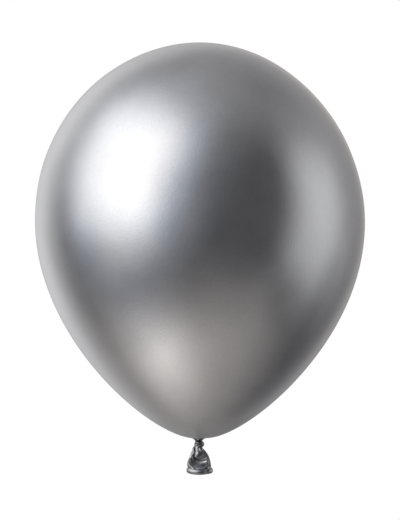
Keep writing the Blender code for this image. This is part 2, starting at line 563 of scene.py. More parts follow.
@dataclass(frozen=True)
class NeckFolds:
    """Pleats that run from the tie point up over the envelope's foot."""

    # bearings of the creases in degrees, at the tie and where they leave the throat
    creases: tuple[tuple[float, float], ...] = (
        (-112.0, -130.0), (-82.0, -57.0), (-28.0, -22.0), (12.0, 9.0), (48.0, 44.0), (84.0, 81.0),
        (122.0, 120.0), (162.0, 163.0), (206.0, 203.0))
    crease_width: float = 13.0
    tie_radius: float = 0.0036
    mouth_radius: float = 0.0074
    depth_at_mouth: float = 0.00010
    deepest: float = 0.00080
    deepest_share: float = 0.24  # no crease is deeper than this share of its radius
    fade_length: float = 0.0009
    reach: float = 2.5  # how far out the pleats go, in mouth radii
    top_z: float = 0.0074  # no pleat goes higher
    shade_reach: tuple[float, float] = (1.05, 0.97)  # where their shade starts and is full, in the same
    # pleats that hang fuller than the rest: bearing, half-angle, height
    tongues: tuple[tuple[float, float, float], ...] = ((-92.0, 19.0, 0.0009), (-158.0, 20.0, 0.0004),
                                                      (30.0, 20.0, 0.0004), (102.0, 22.0, 0.0005))
    tongue_radius: float = 0.0048
    tongue_spread: float = 0.0014

    def crease(self, radius: float, bearing: float) -> float:
        """Tells how far into a crease a place lies.

        Args:
            radius: distance from the axis.
            bearing: bearing round the axis, in degrees.

        Returns:
            1 at the bottom of a crease and 0 away from it.
        """
        outwards = smooth_share(radius, self.tie_radius, self.mouth_radius)
        lines = (at_tie + (at_mouth - at_tie) * outwards for at_tie, at_mouth in self.creases)
        return bell(min(abs(bearing_gap(bearing, line)) for line in lines), self.crease_width)

    def lift(self, radius: float, bearing: float) -> float:
        """Gives how far the pleats push the film out.

        Args:
            radius: distance from the axis.
            bearing: bearing round the axis, in degrees.

        Returns:
            The lift in metres, below 0 in the creases.
        """
        if radius >= self.mouth_radius:
            deep = self.depth_at_mouth * math.exp((self.mouth_radius - radius) / self.fade_length)
        else:
            deep = self.depth_at_mouth + (self.deepest - self.depth_at_mouth) * smooth_share(
                radius, self.mouth_radius, self.tie_radius)
        window = bell(radius - self.tongue_radius, self.tongue_spread)
        full = sum(height * bell(bearing_gap(bearing, middle), half)
                   for middle, half, height in self.tongues)
        deep = min(deep, self.deepest_share * radius)
        return full * window - self.crease(radius, bearing) * deep


def folded(bm: bmesh.types.BMesh, folds: NeckFolds, profile: Sequence[Vector]) -> None:
    """Presses the neck's pleats into a turned skin and leans it along the middle line.

    Args:
        bm: the turned skin.
        folds: the pleats.
        profile: the points of radius and height that the skin was turned from.
    """
    outwards = []
    for before, after in zip([profile[0], *profile], [*profile[1:], profile[-1]]):
        along = (after - before).normalized()
        outwards.append(Vector((-along.y, along.x)))
    crease = bm.verts.layers.float.new(FILM_PAINTED_LIGHT)
    shade_start, shade_full = (share * folds.mouth_radius for share in folds.shade_reach)
    for vert in bm.verts:
        spot = Vector((math.hypot(vert.co.x, vert.co.y), vert.co.z))
        lean = Vector((MIDDLE.shift(vert.co.z), 0.0, 0.0))
        if 0.0 < spot.x < folds.reach * folds.mouth_radius and spot.y < folds.top_z:
            bearing = math.degrees(math.atan2(vert.co.y, vert.co.x))
            nearest = min(range(len(profile)), key=lambda index: (profile[index] - spot).length)
            push = outwards[nearest] * folds.lift(spot.x, bearing)
            shade = smooth_share(spot.x, shade_start, shade_full)
            # painted shade in the pleats' creases
            vert[crease] = folds.crease(spot.x, bearing) * shade
            vert.co += Vector((push.x * vert.co.x / spot.x, push.x * vert.co.y / spot.x, push.y))
        vert.co += lean


@dataclass
class EnvelopeFilm:
    """The blown-up bag: a thin wall from the crown to the gathered mouth."""

    finish: ChromeFilm
    folds: NeckFolds
    radius: float = 0.1523
    crown_z: float = 0.3670
    equator_z: float = 0.2013
    mouth_radius: float = 0.0074
    mouth_z: float = 0.0016
    mouth_slope: float = math.radians(2.5)
    # the profile's handles, as shares of the radius or of the height from the equator
    crown_handle: float = 0.515
    shoulder_handle: float = 0.572
    skirt_handle: float = 0.542
    mouth_handle: float = 0.250
    wall: float = 0.0003
    sides: int = 192
    arc_points: int = 56

    def profile(self) -> list[Vector]:
        """Gives the outside from crown to mouth.

        Returns:
            Points of radius and height.
        """
        crown = Vector((0.0, self.crown_z))
        equator = Vector((self.radius, self.equator_z))
        mouth = Vector((self.mouth_radius, self.mouth_z))
        along_mouth = Vector((math.cos(self.mouth_slope), math.sin(self.mouth_slope)))
        shoulder = interpolate_bezier(
            crown,
            crown + Vector((self.crown_handle * self.radius, 0.0)),
            equator + Vector((0.0, self.shoulder_handle * (self.crown_z - self.equator_z))),
            equator, self.arc_points)
        skirt = interpolate_bezier(
            equator,
            equator - Vector((0.0, self.skirt_handle * (self.equator_z - self.mouth_z))),
            mouth + self.mouth_handle * self.radius * along_mouth,
            mouth, self.arc_points)
        return shoulder + skirt[1:]

    def build(self) -> bpy.types.Object:
        """Builds and dresses the bag.

        Returns:
            The piece.
        """
        profile = self.profile()
        bm = turned(profile, self.sides)
        folded(bm, self.folds, profile)
        bmesh.ops.solidify(bm, geom=bm.faces[:], thickness=self.wall)
        piece = add_piece("envelope_film", bm, self.finish)
        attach(piece, Body.ENVELOPE.value)
        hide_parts("envelope")
        return piece


@dataclass
class ThroatGather:
    """The pleated film between the envelope's mouth and the knot."""

    finish: ChromeFilm
    folds: NeckFolds
    # the profile's ends and handles, as radius and height
    rim: tuple[float, float] = (0.0074, 0.0016)
    rim_handle: tuple[float, float] = (0.0066, 0.0012)
    foot_handle: tuple[float, float] = (0.0040, 0.0004)
    foot: tuple[float, float] = (0.0027, -0.0023)
    bend_start_z: float = 0.0009
    bend_end_z: float = -0.0012
    run_for_metre: float = 60.0
    sides: int = 192
    points: int = 24

    def build(self) -> bpy.types.Object:
        """Builds and dresses the gathered film between the envelope and the knot.

        Returns:
            The piece.
        """
        handles = (self.rim, self.rim_handle, self.foot_handle, self.foot)
        profile = interpolate_bezier(*(Vector(handle) for handle in handles), self.points)
        bm = turned(profile, self.sides)
        run = bm.verts.layers.float_vector.new(FILM_RUN)
        for vert in bm.verts:
            bearing = math.atan2(vert.co.y, vert.co.x)
            vert[run] = (math.cos(bearing), math.sin(bearing), vert.co.z * self.run_for_metre)
        folded(bm, self.folds, profile)
        bmesh.ops.holes_fill(bm, edges=[edge for edge in bm.edges if edge.is_boundary], sides=0)
        bmesh.ops.recalc_face_normals(bm, faces=bm.faces)
        piece = add_piece("throat_gather", bm, self.finish)
        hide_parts("throat")
        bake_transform(piece)
        return piece


@dataclass
class Knot:
    """The neck twisted into a strand and pulled tight in one overhand knot."""

    finish: ChromeFilm
    centre_z: float = -0.0041
    unit: float = 0.0013
    # rows of x, y, z from the knot's centre, half-thickness and how much taller the film is
    # than thick: all but the last in knot units
    stops: tuple[tuple[float, float, float, float, float], ...] = (
        (0.00, 0.10, 3.10, 1.60, 1.0),  # comes down from the throat
        (0.10, 0.20, 2.30, 1.60, 1.0),
        (0.60, 0.10, 1.50, 1.30, 1.0),
        (1.00, -0.50, 0.20, 1.00, 1.0),
        (0.30, -1.40, -0.80, 1.00, 1.0),  # passes under the broad turn
        (-1.55, -1.70, -0.60, 0.95, 1.1),
        (-2.80, -0.40, -0.20, 1.00, 1.2),  # round the left side
        (-2.05, 1.20, -0.30, 1.05, 1.1),
        (-0.20, 1.70, -0.05, 1.05, 1.2),  # behind the middle
        (1.60, 1.30, 0.00, 1.10, 1.4),
        (2.40, 0.00, -0.10, 1.12, 1.55),  # round the right side, spread out broad
        (1.70, -1.50, 0.00, 1.10, 1.8),
        (0.20, -2.25, 0.25, 1.10, 1.85),
        (-1.15, -2.20, 0.90, 0.95, 1.3),
        (-2.15, -1.30, 1.55, 0.85, 1.0),  # the small lobe at the upper left
        (-2.30, 0.00, 1.35, 0.85, 1.0),
        (-1.40, 0.60, 0.30, 1.00, 1.0),
        (-0.90, 0.20, -1.30, 1.10, 1.0),
        (-0.85, 0.00, -2.30, 1.30, 1.0),  # down into the tail
        (-0.80, 0.00, -3.10, 1.40, 1.0),
    )
    # creases across the strand: where along the stops, and how deep for its thickness
    tucks: tuple[tuple[float, float], ...] = ((6.6, 0.10), (9.3, 0.12), (10.75, 0.17), (14.6, 0.12))
    tuck_width: float = 0.16
    tuck_shade: float = 4.0  # painted shade in a tuck for its depth
    highlight_spot: tuple[float, float] = (6.0, 0.9)  # where along the stops the painted highlight stands, and how far it spreads
    # gathers along the strand: how many stand round it, how fast they wind and how high they are
    gathers: tuple[tuple[float, float, float], ...] = ((5.0, 1.0, 1.0), (8.0, -0.7, 0.7))
    wrinkle: float = 0.035  # how high a gather of height 1 stands for the strand's thickness
    run_for_ring: float = 0.03
    steps: int = 14
    sides: int = 48

    @staticmethod
    def frames(points: Sequence[Vector]) -> list[Matrix]:
        """Carries a square frame along a route without twisting it.

        Args:
            points: the route.

        Returns:
            A matrix for each point, whose Z is the route's direction.
        """
        heading = (points[1] - points[0]).normalized()
        turn = heading.to_track_quat("Z", "Y")
        frames = []
        for index in range(len(points)):
            before = points[max(index - 1, 0)]
            after = points[min(index + 1, len(points) - 1)]
            new_heading = (after - before).normalized()
            turn = heading.rotation_difference(new_heading) @ turn
            heading = new_heading
            frames.append(turn.to_matrix())
        return frames

    def build(self) -> bpy.types.Object:
        """Builds and dresses the knot.

        Returns:
            The piece.
        """
        route = smooth_curve(self.stops, self.steps)
        points = [stop.to_3d() * self.unit for stop in route]
        frames = self.frames(points)
        centre = Vector((MIDDLE.shift(self.centre_z), 0.0, self.centre_z))
        bm = unit_tube(len(route), self.sides)

        def place(ring: float, bearing: float) -> tuple[Vector, float]:
            """Puts one corner of the strand on its wrinkled section.

            Args:
                ring: the number of its ring.
                bearing: its bearing round the strand, in radians.

            Returns:
                The corner's place, and its painted shade in the tucks less its painted highlight.
            """
            index = round(ring)
            along = index / self.steps
            gathered = sum(height * math.cos(count * bearing + winding * along)
                           for count, winding, height in self.gathers)
            tuck = sum(depth * bell(along - middle, self.tuck_width) for middle, depth in self.tucks)
            radius = self.unit * route[index][3] * (1.0 + self.wrinkle * gathered - tuck)
            across = frames[index] @ Vector((math.cos(bearing), math.sin(bearing), 0.0)) * radius
            across.z *= route[index][4]
            # painted highlight along the strand
            highlight_paint = bell(along - self.highlight_spot[0], self.highlight_spot[1])
            return centre + points[index] + across, min(1.0, self.tuck_shade * tuck) - highlight_paint

        mould(bm, place, self.run_for_ring)
        close_ends(bm)
        piece = add_piece("knot_strand", bm, self.finish)
        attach(piece, Body.KNOT.value)
        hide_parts("neck_strand", "tail_strand")
        return piece


@dataclass
class Fold:
    """A ridge or crease in one face of the tail, in millimetres."""

    face: TailFace
    # X from the tail's middle, Z, height, which is below 0 in a crease, and how far it spreads
    # to the right and to the left of the way the line runs
    stops: tuple[tuple[float, float, float, float, float], ...]
    painted_light_per_lift: float = 0.0  # painted highlight for each millimetre of lift, and painted shade for each millimetre of crease
    path: list[Vector] = field(init=False)
    low: Vector = field(init=False)
    high: Vector = field(init=False)

    def __post_init__(self) -> None:
        """Smooths the line and notes the box in which the fold can be felt."""
        self.path = smooth_curve(self.stops, FOLD_STEPS)
        reach = FOLD_REACH * max(max(stop[3:]) for stop in self.stops)
        self.low = Vector((min(stop.x for stop in self.path), min(stop.y for stop in self.path)))
        self.high = Vector((max(stop.x for stop in self.path), max(stop.y for stop in self.path)))
        self.low -= Vector((reach, reach))
        self.high += Vector((reach, reach))

    def lift(self, x: float, z: float) -> float:
        """Gives how far the fold lifts the film.

        Args:
            x: place across the tail, in millimetres.
            z: height, in millimetres.

        Returns:
            The lift in millimetres.
        """
        if not (self.low.x < x < self.high.x and self.low.y < z < self.high.y):
            return 0.0
        total = 0.0
        lifted = 0.0
        for start, end in zip(self.path, self.path[1:]):
            run = (end - start).to_2d()
            off = Vector((x, z)) - start.to_2d()
            share = min(1.0, max(0.0, off.dot(run) / run.length_squared))
            away = (off - share * run).length
            side = run.cross(off) / (run.length * away) if away else 0.0
            _, _, height, right, left = start.lerp(end, share)
            near = bell(away, right + (left - right) * smooth_share(side, -1.0, 1.0))
            weight = near ** FOLD_FOCUS
            total += weight
            lifted += weight * height * near
        return lifted / total if total else 0.0


FRONT = TailFace.FRONT
BACK = TailFace.BACK
TAIL_FOLDS = (
    # the strip down the left edge, which falls away to its right into a broad hollow and runs
    # on along the hollow's lower side
    Fold(FRONT, ((-3.2, -9.8, 0.0, 1.0, 0.8), (-3.8, -11.2, 0.8, 1.1, 0.8),
                 (-5.8, -13.6, 0.9, 1.1, 1.4), (-8.6, -16.8, 0.9, 0.9, 3.6),
                 (-10.4, -19.8, 0.9, 0.8, 4.2), (-10.1, -22.0, 0.8, 0.9, 2.4),
                 (-8.1, -24.1, 0.8, 0.9, 1.3), (-6.4, -25.4, 0.6, 0.9, 1.1),
                 (-5.0, -26.5, 0.2, 0.9, 1.1))),
    # painted highlights along the strip's rim, on a slight lift: below the shoulder and above the lip
    Fold(FRONT, ((-4.4, -10.6, 0.2, 0.7, 0.7), (-5.1, -11.9, 0.5, 0.8, 0.7),
                 (-6.9, -13.9, 0.45, 0.7, 0.7), (-8.6, -16.0, 0.2, 0.7, 0.7),
                 (-9.4, -17.2, 0.0, 0.7, 0.7)), painted_light_per_lift=3.0),
    Fold(FRONT, ((-10.3, -20.9, 0.1, 0.8, 0.7), (-9.2, -22.4, 0.4, 0.8, 0.7),
                 (-7.9, -24.1, 0.5, 0.8, 0.7), (-6.5, -25.4, 0.5, 0.8, 0.7),
                 (-5.1, -26.3, 0.2, 0.8, 0.7)), painted_light_per_lift=3.0),
    # a shallow crease in the left edge between them, darkened with painted shade
    Fold(FRONT, ((-8.0, -16.8, 0.0, 0.8, 0.8), (-8.7, -18.2, -0.4, 0.8, 0.9),
                 (-9.1, -19.8, -0.4, 0.8, 0.9), (-8.9, -21.4, -0.1, 0.8, 0.8)), painted_light_per_lift=2.2),
    # the black valley between the strip and the pouch, which runs on as the U below the pouch
    Fold(FRONT, ((-1.8, -6.4, -0.3, 0.9, 1.1), (-2.3, -8.6, -0.6, 0.9, 1.0),
                 (-3.1, -11.0, -0.9, 0.9, 0.8), (-4.4, -13.6, -1.3, 1.9, 0.8),
                 (-4.7, -15.8, -1.6, 2.6, 1.1), (-3.3, -17.4, -1.4, 1.8, 0.9),
                 (-1.3, -18.0, -1.2, 1.2, 0.8), (0.8, -18.4, -1.0, 1.2, 0.8),
                 (3.1, -18.0, -0.8, 1.2, 0.8), (5.2, -16.9, -0.5, 1.0, 0.8),
                 (6.8, -15.4, -0.2, 1.0, 0.9))),
    # the hollow beside the knot, at the left shoulder, darkened with painted shade
    Fold(FRONT, ((-2.5, -6.0, -0.2, 0.9, 0.9), (-2.6, -7.4, -0.4, 1.0, 1.0),
                 (-2.8, -8.8, -0.4, 0.9, 0.9), (-3.1, -10.0, -0.1, 0.8, 0.8)), painted_light_per_lift=1.6),
    # the pouch, full at its upper left
    Fold(FRONT, ((-0.3, -8.0, 0.0, 1.6, 1.6), (-0.6, -9.4, 0.05, 1.8, 1.6),
                 (-0.8, -10.8, 0.3, 2.0, 1.6), (-0.9, -12.2, 0.7, 2.3, 1.8),
                 (-0.7, -13.6, 0.65, 3.0, 2.8), (0.2, -15.0, 0.3, 3.2, 3.8),
                 (0.9, -16.2, 0.0, 2.8, 3.6))),
    # the film tucked in below the knot
    Fold(FRONT, ((-2.0, -9.0, 0.0, 0.9, 0.9), (-0.6, -9.1, -0.25, 0.9, 0.9),
                 (0.8, -9.1, -0.2, 0.9, 0.9), (2.0, -9.0, 0.0, 0.9, 0.9))),
    # the tongue below the knot: two bright edges with a notch between them
    Fold(FRONT, ((0.6, -7.0, 0.0, 0.8, 0.8), (0.3, -9.0, 0.3, 0.9, 0.8), (0.0, -10.8, 0.6, 1.1, 1.0),
                 (-0.6, -12.6, 0.4, 1.0, 1.1), (-1.2, -13.8, 0.1, 1.0, 1.2))),
    Fold(FRONT, ((0.9, -5.8, -0.9, 0.6, 0.6), (1.1, -7.2, -0.6, 0.6, 0.6), (1.2, -8.4, -0.1, 0.6, 0.6))),
    Fold(FRONT, ((1.8, -6.4, 0.2, 0.7, 0.7), (2.1, -8.4, 0.8, 0.8, 0.8), (1.8, -10.8, 0.6, 1.0, 1.0),
                 (1.2, -12.8, 0.2, 1.1, 1.0))),
    # the dark crease at the right shoulder
    Fold(FRONT, ((2.7, -5.8, -1.3, 0.8, 0.8), (3.1, -7.4, -1.4, 0.8, 0.8), (3.8, -9.2, -0.9, 0.8, 0.8),
                 (4.8, -11.2, -0.2, 0.8, 0.8))),
    # the skirt: a roll that sweeps down from the right flank, gentle above and steep below
    Fold(FRONT, ((8.6, -15.4, 0.2, 0.9, 1.4), (8.5, -17.2, 1.0, 1.1, 1.3),
                 (8.1, -18.7, 1.6, 1.3, 1.4), (7.0, -20.1, 1.5, 1.5, 1.6),
                 (5.2, -21.2, 0.8, 2.2, 1.7), (2.6, -21.8, 0.4, 2.4, 1.9),
                 (-0.4, -22.2, 0.1, 2.0, 1.9))),
    # a painted highlight on its inner side, on a slight lift
    Fold(FRONT, ((7.4, -17.8, 0.0, 0.7, 0.7), (6.5, -19.0, 0.25, 0.7, 0.7),
                 (5.3, -19.9, 0.1, 0.7, 0.7), (4.6, -20.3, 0.0, 0.7, 0.7)), painted_light_per_lift=2.4),
    # the lower fold of the right flank
    Fold(FRONT, ((9.8, -19.4, 0.2, 1.0, 1.2), (9.6, -21.2, 0.6, 1.0, 1.2),
                 (8.7, -23.0, 0.8, 1.1, 1.3), (6.8, -24.8, 0.6, 1.1, 1.3),
                 (4.4, -26.0, 0.2, 1.1, 1.2), (2.2, -26.7, 0.0, 1.1, 1.2))),
    # the crease along the right edge, darkened with more painted shade
    Fold(FRONT, ((7.4, -13.4, -0.2, 0.7, 0.9), (8.7, -16.2, -0.7, 0.7, 1.0),
                 (9.4, -18.6, -0.9, 0.8, 1.1), (9.9, -21.0, -0.8, 0.8, 1.1),
                 (9.9, -23.6, -0.7, 0.8, 1.1), (9.7, -25.4, -0.6, 0.8, 1.1),
                 (9.7, -26.8, -0.3, 0.8, 1.1)), painted_light_per_lift=0.9),
    # the back, guessed: fewer and straighter folds
    Fold(BACK, ((-1.0, -7.0, 0.5, 1.3, 1.3), (-3.6, -14.0, 0.5, 1.3, 1.6), (-5.0, -20.0, 0.3, 1.3, 1.9))),
    Fold(BACK, ((0.4, -7.0, -0.8, 1.0, 1.0), (-0.4, -13.0, -0.8, 1.0, 1.1), (-0.8, -18.0, -0.3, 1.1, 1.1))),
    Fold(BACK, ((1.6, -7.2, 0.6, 1.3, 1.3), (3.4, -13.5, 0.6, 1.4, 1.4), (3.0, -19.0, 0.3, 1.6, 1.6))),
    Fold(BACK, ((3.6, -9.0, -0.6, 1.0, 1.0), (6.4, -15.0, -0.7, 1.1, 1.1), (7.6, -19.5, -0.3, 1.1, 1.1))),
    Fold(BACK, ((-7.5, -18.5, 0.3, 1.5, 1.5), (-2.0, -21.0, 0.6, 1.5, 1.5), (4.0, -21.6, 0.6, 1.5, 1.5),
                (8.5, -19.5, 0.4, 1.5, 1.5))),
)


@dataclass
class TailSleeve:
    """The uninflated neck below the knot: a flattened sleeve that opens downwards."""

    finish: ChromeFilm
    folds: tuple[Fold, ...]
    # rows of z, half-width, half-depth, the squareness of the left and of the right side,
    # which is 2 in an ellipse and less in a lens, and how far both edges curl to the front
    outline: tuple[tuple[float, float, float, float, float, float], ...] = (
        (-0.00480, 0.0020, 0.0014, 2.0, 2.0, 0.0),
        (-0.00540, 0.0032, 0.0018, 2.0, 2.0, 0.0),
        (-0.00620, 0.0041, 0.0021, 2.0, 2.0, 0.0),
        (-0.00760, 0.0046, 0.0023, 2.2, 2.0, 0.0001),
        (-0.00940, 0.0056, 0.0025, 2.6, 2.0, 0.0003),
        (-0.01120, 0.0067, 0.0028, 3.4, 2.1, 0.0006),
        (-0.01400, 0.0083, 0.0034, 4.6, 2.4, 0.0015),
        (-0.01680, 0.0094, 0.0041, 5.0, 2.6, 0.0017),
        (-0.01960, 0.0104, 0.0047, 3.6, 2.6, 0.0018),
        (-0.02230, 0.0110, 0.0051, 2.4, 2.5, 0.0013),
        (-0.02450, 0.0111, 0.0056, 2.2, 2.2, 0.0005),
        (-0.02600, 0.0110, 0.0062, 1.9, 1.9, 0.0001),
        (-0.02720, 0.0110, 0.0065, 1.8, 1.8, 0.0),
    )
    droop: float = 0.0009
    wall: float = 0.0005
    hollow_from_z: float = -0.0134
    step: float = 0.00025
    sides: int = 220
    bend_start_z: float = -0.0072
    bend_end_z: float = -0.0128
    pivot_z: float = -0.0100
    turn_start_z: float = -0.0245
    side_blend: float = 0.35  # cosine from which a side has its own squareness in full
    face_blend: float = 0.4  # sine from which a face has its folds in full
    painted_shade_depths: tuple[float, float] = (0.3, 1.2)  # in mm of crease depth, where the painted shade starts and is darkest
    run_for_ring: float = 0.017
    outline_steps: int = 5
    rows: list[Vector] = field(init=False)

    def __post_init__(self) -> None:
        """Smooths the outline from row to row."""
        self.rows = smooth_curve(self.outline, self.outline_steps)

    def section(self, z: float) -> Vector:
        """Reads the outline at one height.

        Args:
            z: the height before the droop.

        Returns:
            The height, half-width, half-depth, left and right squareness and curl.
        """
        for above, below in zip(self.rows, self.rows[1:]):
            if z >= below[0]:
                return above.lerp(below, max(0.0, (z - above[0]) / (below[0] - above[0])))
        return self.rows[-1]

    def place(self, z: float, bearing: float, inset: float) -> tuple[Vector, float]:
        """Places one corner of the sleeve.

        Args:
            z: the height before the droop.
            bearing: bearing round the sleeve, in radians.
            inset: how far inside the outer skin it lies.

        Returns:
            The corner's place, and its painted shade in the creases less its painted highlights.
        """
        _, wide, deep, left, right, curl = self.section(z)
        end_z = self.outline[-1][0]
        cosine = math.cos(bearing)
        sine = math.sin(bearing)
        leftwards = smooth_share(cosine, self.side_blend, -self.side_blend)
        swell = squared(cosine, sine, right + (left - right) * leftwards)
        x = (wide - inset) * cosine * swell
        y = (deep - inset) * sine * swell - curl * (x / wide) ** 2
        low = smooth_share(z, self.pivot_z, end_z)
        hangs = z - self.droop * low * sine * sine
        face = FRONT if sine < 0.0 else BACK
        folds = [fold for fold in self.folds if fold.face is face]
        lifts = [fold.lift(x / MILLIMETRE, hangs / MILLIMETRE) for fold in folds]
        flatness = smooth_share(abs(sine), 0.0, self.face_blend)
        free = smooth_share(z, end_z, self.outline[-2][0])
        y += face.value * MILLIMETRE * sum(lifts) * flatness * free
        turn = LIP_TURN * smooth_share(z, self.turn_start_z, end_z)
        spot = Matrix.Rotation(turn, 3, "Z") @ Vector((x, y, hangs))
        spot.x += MIDDLE.shift(z)
        # painted shade in the deep creases, less the painted light of the marked folds
        depth = -flatness * sum(lift for lift in lifts if lift < 0.0)
        crease = smooth_share(depth, *self.painted_shade_depths)
        crease -= sum(fold.painted_light_per_lift * lift for fold, lift in zip(folds, lifts))
        return spot, crease

    def build(self) -> bpy.types.Object:
        """Builds and dresses the sleeve below the knot.

        Returns:
            The piece.
        """
        top = self.outline[0][0]
        bottom = self.outline[-1][0]
        count = round((top - bottom) / self.step)
        outside = [(top + (bottom - top) * index / count, 0.0) for index in range(count + 1)]
        inside = [(z, self.wall) for z, _ in outside if z < self.hollow_from_z]
        rows = outside + inside[::-1]
        bm = unit_tube(len(rows), self.sides)

        def place(ring: float, bearing: float) -> tuple[Vector, float]:
            """Puts one corner of the tube on its row."""
            z, inset = rows[round(ring)]
            return self.place(z, bearing, inset)

        mould(bm, place, self.run_for_ring)
        close_ends(bm)
        piece = add_piece("tail_sleeve", bm, self.finish)
        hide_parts("tail")
        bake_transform(piece)
        return piece


@dataclass
class RolledLip:
    """The bead that the film is rolled into round the tail's open end."""

    finish: ChromeFilm
    middle_z: float = -0.0287
    half_height: float = 0.0025
    half_thickness: float = 0.0015
    path_half_width: float = 0.0109
    path_half_depth: float = 0.0065
    path_squareness: float = 1.8  # 2 in an ellipse, less in a lens
    droop: float = 0.0009
    roll_groove: float = 0.00018
    roll_groove_bearing: float = math.radians(-58.0)
    roll_groove_width: float = 0.22
    unevenness: float = 0.00004
    # waves round the bead: how many, where they start and how high they are
    waves: tuple[tuple[float, float, float], ...] = ((3.0, 0.6, 1.0), (5.0, 2.0, 0.5))
    # where round the bead its painted highlight stands, how far to both sides, and how bright
    highlight_spot: tuple[float, float] = (math.radians(-57.0), math.radians(9.0))
    highlight_spot_share: float = 0.8
    # heights on the section, from -1 below to 1 above, where the painted highlight and the painted shade on
    # the underside start and are full
    bright_span: tuple[float, float] = (-0.9, -0.3)
    shade_span: tuple[float, float] = (-0.55, -0.95)
    ring_radius: float = 2.0  # of the plain ring that is bent to the bead, in section radii
    run_for_bearing: float = 0.35
    sides: int = 176
    section_sides: int = 40

    def build(self) -> bpy.types.Object:
        """Builds and dresses the lip.

        Returns:
            The piece.
        """
        bm = bmesh.new()
        section = bmesh.ops.create_circle(bm, radius=1.0, segments=self.section_sides,
                                          matrix=Matrix.Rotation(QUARTER_TURN, 4, "X"))
        bmesh.ops.translate(bm, verts=section["verts"], vec=(self.ring_radius, 0, 0))
        bmesh.ops.spin(bm, geom=list(bm.verts) + list(bm.edges), cent=(0, 0, 0), axis=(0, 0, 1),
                       angle=math.tau, steps=self.sides, use_merge=True)
        bmesh.ops.remove_doubles(bm, verts=bm.verts, dist=MERGE_DISTANCE)
        bmesh.ops.recalc_face_normals(bm, faces=bm.faces)
        run = bm.verts.layers.float_vector.new(FILM_RUN)
        crease = bm.verts.layers.float.new(FILM_PAINTED_LIGHT)
        for vert in bm.verts:
            bearing = math.atan2(vert.co.y, vert.co.x)
            across = math.hypot(vert.co.x, vert.co.y) - self.ring_radius
            turn = math.atan2(vert.co.z, across)
            vert[run] = (across, vert.co.z, self.run_for_bearing * bearing)
            # painted highlight at one place round the bead, painted shade on its underside
            highlight_paint = self.highlight_spot_share * bell(bearing - self.highlight_spot[0], self.highlight_spot[1])
            vert[crease] = (smooth_share(vert.co.z, *self.shade_span)
                            - highlight_paint * smooth_share(vert.co.z, *self.bright_span))
            vert.co = self.place(bearing, turn)
        piece = add_piece("rolled_lip", bm, self.finish)
        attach(piece, Body.TAIL.value)
        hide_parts("lip")
        return piece

    def place(self, bearing: float, turn: float) -> Vector:
        """Places one corner of the bead.

        Args:
            bearing: bearing round the sleeve, in radians.
            turn: bearing round the bead's section, 0 outwards and a quarter turn up.

        Returns:
            The corner's place.
        """
        uneven = self.unevenness * sum(height * math.sin(count * bearing + start)
                                       for count, start, height in self.waves)
        groove = self.roll_groove * bell(turn - self.roll_groove_bearing, self.roll_groove_width)
        thick = self.half_thickness + uneven - groove
        high = self.half_height + uneven - groove
        cosine = math.cos(bearing)
        sine = math.sin(bearing)
        out = thick * math.cos(turn)
        z = self.middle_z - self.droop * sine * sine + high * math.sin(turn)
        swell = squared(cosine, sine, self.path_squareness)
        steep = self.path_squareness - 1.0
        facing = Vector((math.copysign(abs(cosine) ** steep, cosine) / self.path_half_width,
                         math.copysign(abs(sine) ** steep, sine) / self.path_half_depth)).normalized()
        x = self.path_half_width * cosine * swell + out * facing.x
        y = self.path_half_depth * sine * swell + out * facing.y
        spot = Matrix.Rotation(LIP_TURN, 3, "Z") @ Vector((x, y, z))
        spot.x += MIDDLE.shift(z)
        return spot


@dataclass(frozen=True)
class SoftPanel:
    """A soft studio light far off, by where it stands and how wide it looks, in degrees."""

    name: str
    azimuth: float  # 0 behind the camera, 90 to its right
    elevation: float
    half_width: float
    half_height: float
    softness: float
    roll: float
    light: tuple[float, float, float]

    def axes(self) -> tuple[Vector, Vector, Vector]:
        """Gives the panel's directions.

        Returns:
            Its right, its up and the way to its middle.
        """
        turn = math.radians(self.azimuth)
        rise = math.radians(self.elevation)
        roll = math.radians(self.roll)
        middle = Vector((math.sin(turn) * math.cos(rise), -math.cos(turn) * math.cos(rise),
                         math.sin(rise)))
        level = Vector((math.cos(turn), math.sin(turn), 0.0))
        up = level.cross(middle)
        if up.z < 0.0:
            up.negate()
        right = level * math.cos(roll) + up * math.sin(roll)
        return right, up * math.cos(roll) - level * math.sin(roll), middle


